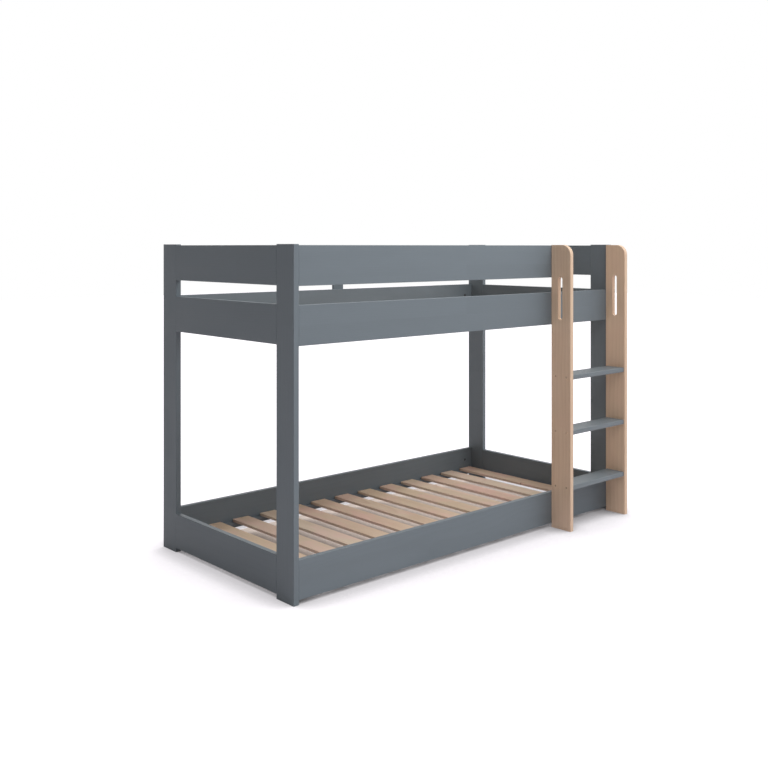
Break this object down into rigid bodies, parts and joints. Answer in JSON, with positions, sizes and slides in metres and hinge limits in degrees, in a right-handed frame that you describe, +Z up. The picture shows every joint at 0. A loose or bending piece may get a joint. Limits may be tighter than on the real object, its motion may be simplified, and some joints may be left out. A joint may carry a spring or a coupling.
{
  "type": "bunk bed",
  "caption": "Low in-line bunk bed of grey painted boards with guard rails, natural wood slats, and a short upright ladder with handle slots at one end of the front.",
  "frame": {"origin": "centre of the bounding box, at the floor", "axes": "+X along the bed towards the ladder end, +Y from the ladder side to the back, +Z up"},
  "size_m": [1.972, 1.072, 1.32],
  "materials": {
    "grey_paint": "satin grey paint on softwood",
    "slat_wood": "planed, unpainted softwood",
    "ladder_wood": "clear matt lacquer on softwood",
    "dowel_wood": "raw beech",
    "zinc": "zinc plated",
    "bronzed_steel": "bronzed steel wood screws"
  },
  "bodies": {
    "root": {"post_front_left": "grey_paint", "post_back_left": "grey_paint", "post_front_right": "grey_paint", "post_back_right": "grey_paint", "left_guard_rail": "grey_paint", "left_upper_rail": "grey_paint", "left_lower_rail": "grey_paint", "right_guard_rail": "grey_paint", "right_upper_rail": "grey_paint", "right_lower_rail": "grey_paint", "front_guard_rail": "grey_paint", "front_upper_rail": "grey_paint", "front_lower_rail": "grey_paint", "back_guard_rail": "grey_paint", "back_upper_rail": "grey_paint", "back_lower_rail": "grey_paint", "back_batten": "grey_paint", "upper_front_ledger": "grey_paint", "upper_back_ledger": "grey_paint", "lower_front_ledger": "grey_paint", "lower_back_ledger": "grey_paint", "upper_slat_01": "slat_wood", "upper_slat_02": "slat_wood", "upper_slat_03": "slat_wood", "upper_slat_04": "slat_wood", "upper_slat_05": "slat_wood", "upper_slat_06": "slat_wood", "upper_slat_07": "slat_wood", "upper_slat_08": "slat_wood", "upper_slat_09": "slat_wood", "upper_slat_10": "slat_wood", "upper_slat_11": "slat_wood", "upper_slat_12": "slat_wood", "upper_slat_13": "slat_wood", "lower_slat_01": "slat_wood", "lower_slat_02": "slat_wood", "lower_slat_03": "slat_wood", "lower_slat_04": "slat_wood", "lower_slat_05": "slat_wood", "lower_slat_06": "slat_wood", "lower_slat_07": "slat_wood", "lower_slat_08": "slat_wood", "lower_slat_09": "slat_wood", "lower_slat_10": "slat_wood", "lower_slat_11": "slat_wood", "lower_slat_12": "slat_wood", "lower_slat_13": "slat_wood", "ladder_upright_left": "ladder_wood", "ladder_upright_right": "ladder_wood", "ladder_rung_1": "grey_paint", "ladder_rung_2": "grey_paint", "ladder_rung_3": "grey_paint", "cam_locks": "zinc", "cam_bolts": "zinc", "dowels": "dowel_wood", "rung_screws": "bronzed_steel", "ladder_screws": "bronzed_steel", "slat_screws": "bronzed_steel", "ledger_screws": "bronzed_steel", "batten_screws": "bronzed_steel"}
  },
  "joints": []
}
